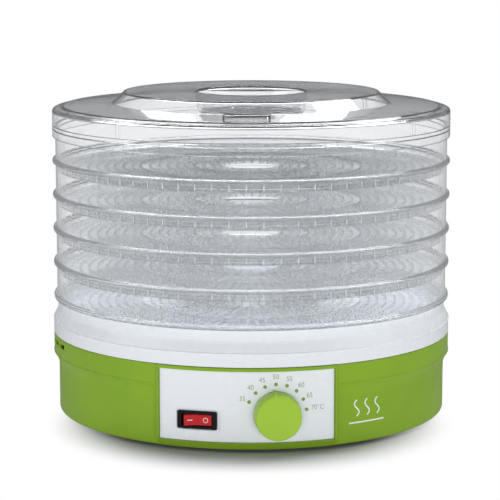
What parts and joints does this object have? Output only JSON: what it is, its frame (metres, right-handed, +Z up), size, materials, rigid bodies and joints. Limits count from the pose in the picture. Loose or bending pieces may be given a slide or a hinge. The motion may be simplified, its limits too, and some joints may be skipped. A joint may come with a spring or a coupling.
{
  "type": "food dehydrator",
  "caption": "Round electric food dehydrator with a fan-heated base, a temperature knob, a rocker switch, clear stacking trays that nest, and a clear domed lid.",
  "frame": {"origin": "centre of the plane that the four rubber feet stand on, on the axis of the tray stack", "axes": "+Z up along the stack, control panel towards -Y, +X to the right as seen from the front"},
  "size_m": [0.332, 0.3456, 0.2673],
  "materials": {
    "clear_plastic": "gloss",
    "white_plastic": "satin gloss",
    "green_plastic": "satin gloss",
    "knob_green": "satin gloss",
    "black_plastic": "gloss",
    "dark_plastic": "matte",
    "rocker_red": "gloss",
    "foot_rubber": "matte",
    "zinc_steel": "zinc plated",
    "laminated_steel": "laminated",
    "brass": "plain",
    "copper": "enamelled copper",
    "aluminium": "plain",
    "mica": "mica sheet",
    "nichrome": "oxidised",
    "ceramic_white": "plain",
    "wire_insulation": "satin"
  },
  "bodies": {
    "base": {"housing_deck": "white_plastic", "upper_housing": "white_plastic", "outlet_grille": "white_plastic", "lower_housing": "green_plastic", "bottom_cover": "dark_plastic", "rubber_feet": "foot_rubber", "control_panel": "white_plastic", "thermostat_body": "zinc_steel", "thermostat_nut": "zinc_steel", "sensor_bulb": "copper", "capillary_tube": "copper", "switch_body": "black_plastic", "switch_terminals": "brass", "heat_shield": "aluminium", "heater_frame": "mica", "heating_coil": "nichrome", "thermal_fuse": "ceramic_white", "motor_mount": "zinc_steel", "motor_stator": "laminated_steel", "motor_winding": "copper", "motor_bearings": "brass", "motor_brackets": "zinc_steel", "motor_bolts": "zinc_steel", "terminal_block": "ceramic_white", "cord_grommet": "foot_rubber", "internal_wires": "wire_insulation", "housing_screws": "zinc_steel", "mount_screws": "zinc_steel"},
    "lid": {"lid": "clear_plastic", "lid_skirt": "clear_plastic", "lid_well": "clear_plastic"},
    "tray_1": {"tray_1": "clear_plastic", "tray_1_floor": "clear_plastic"},
    "tray_2": {"tray_2": "clear_plastic", "tray_2_floor": "clear_plastic"},
    "tray_3": {"tray_3": "clear_plastic", "tray_3_floor": "clear_plastic"},
    "tray_4": {"tray_4": "clear_plastic", "tray_4_floor": "clear_plastic"},
    "tray_5": {"tray_5": "clear_plastic", "tray_5_floor": "clear_plastic"},
    "knob": {"temperature_knob": "knob_green", "thermostat_shaft": "zinc_steel"},
    "rocker": {"switch_rocker": "rocker_red"},
    "rotor": {"motor_rotor": "laminated_steel", "motor_shaft": "zinc_steel", "fan_impeller": "dark_plastic"}
  },
  "joints": [
    {"name": "tray_1_lift", "type": "slide", "parent": "base", "child": "tray_1", "axis": [0, 0, 1], "range_m": [0, 0.045]},
    {"name": "tray_2_lift", "type": "slide", "parent": "tray_1", "child": "tray_2", "axis": [0, 0, 1], "range_m": [0, 0.045]},
    {"name": "tray_3_lift", "type": "slide", "parent": "tray_2", "child": "tray_3", "axis": [0, 0, 1], "range_m": [0, 0.045]},
    {"name": "tray_4_lift", "type": "slide", "parent": "tray_3", "child": "tray_4", "axis": [0, 0, 1], "range_m": [0, 0.045]},
    {"name": "tray_5_lift", "type": "slide", "parent": "tray_4", "child": "tray_5", "axis": [0, 0, 1], "range_m": [0, 0.045]},
    {"name": "lid_lift", "type": "slide", "parent": "tray_5", "child": "lid", "axis": [0, 0, 1], "range_m": [0, 0.06]},
    {"name": "knob_turn", "type": "hinge", "parent": "base", "child": "knob", "pos_m": [0.02346, -0.16282, 0.0314], "axis": [0.1426, -0.9898, 0], "range_deg": [-90.3, 57.5]},
    {"name": "rocker_tip", "type": "hinge", "parent": "base", "child": "rocker", "pos_m": [-0.0372, -0.15613, 0.026], "axis": [0, 0, 1], "range_deg": [-20, 0]},
    {"name": "fan_spin", "type": "hinge", "parent": "base", "child": "rotor", "pos_m": [0, 0, 0.05], "axis": [0, 0, 1], "continuous": true}
  ]
}
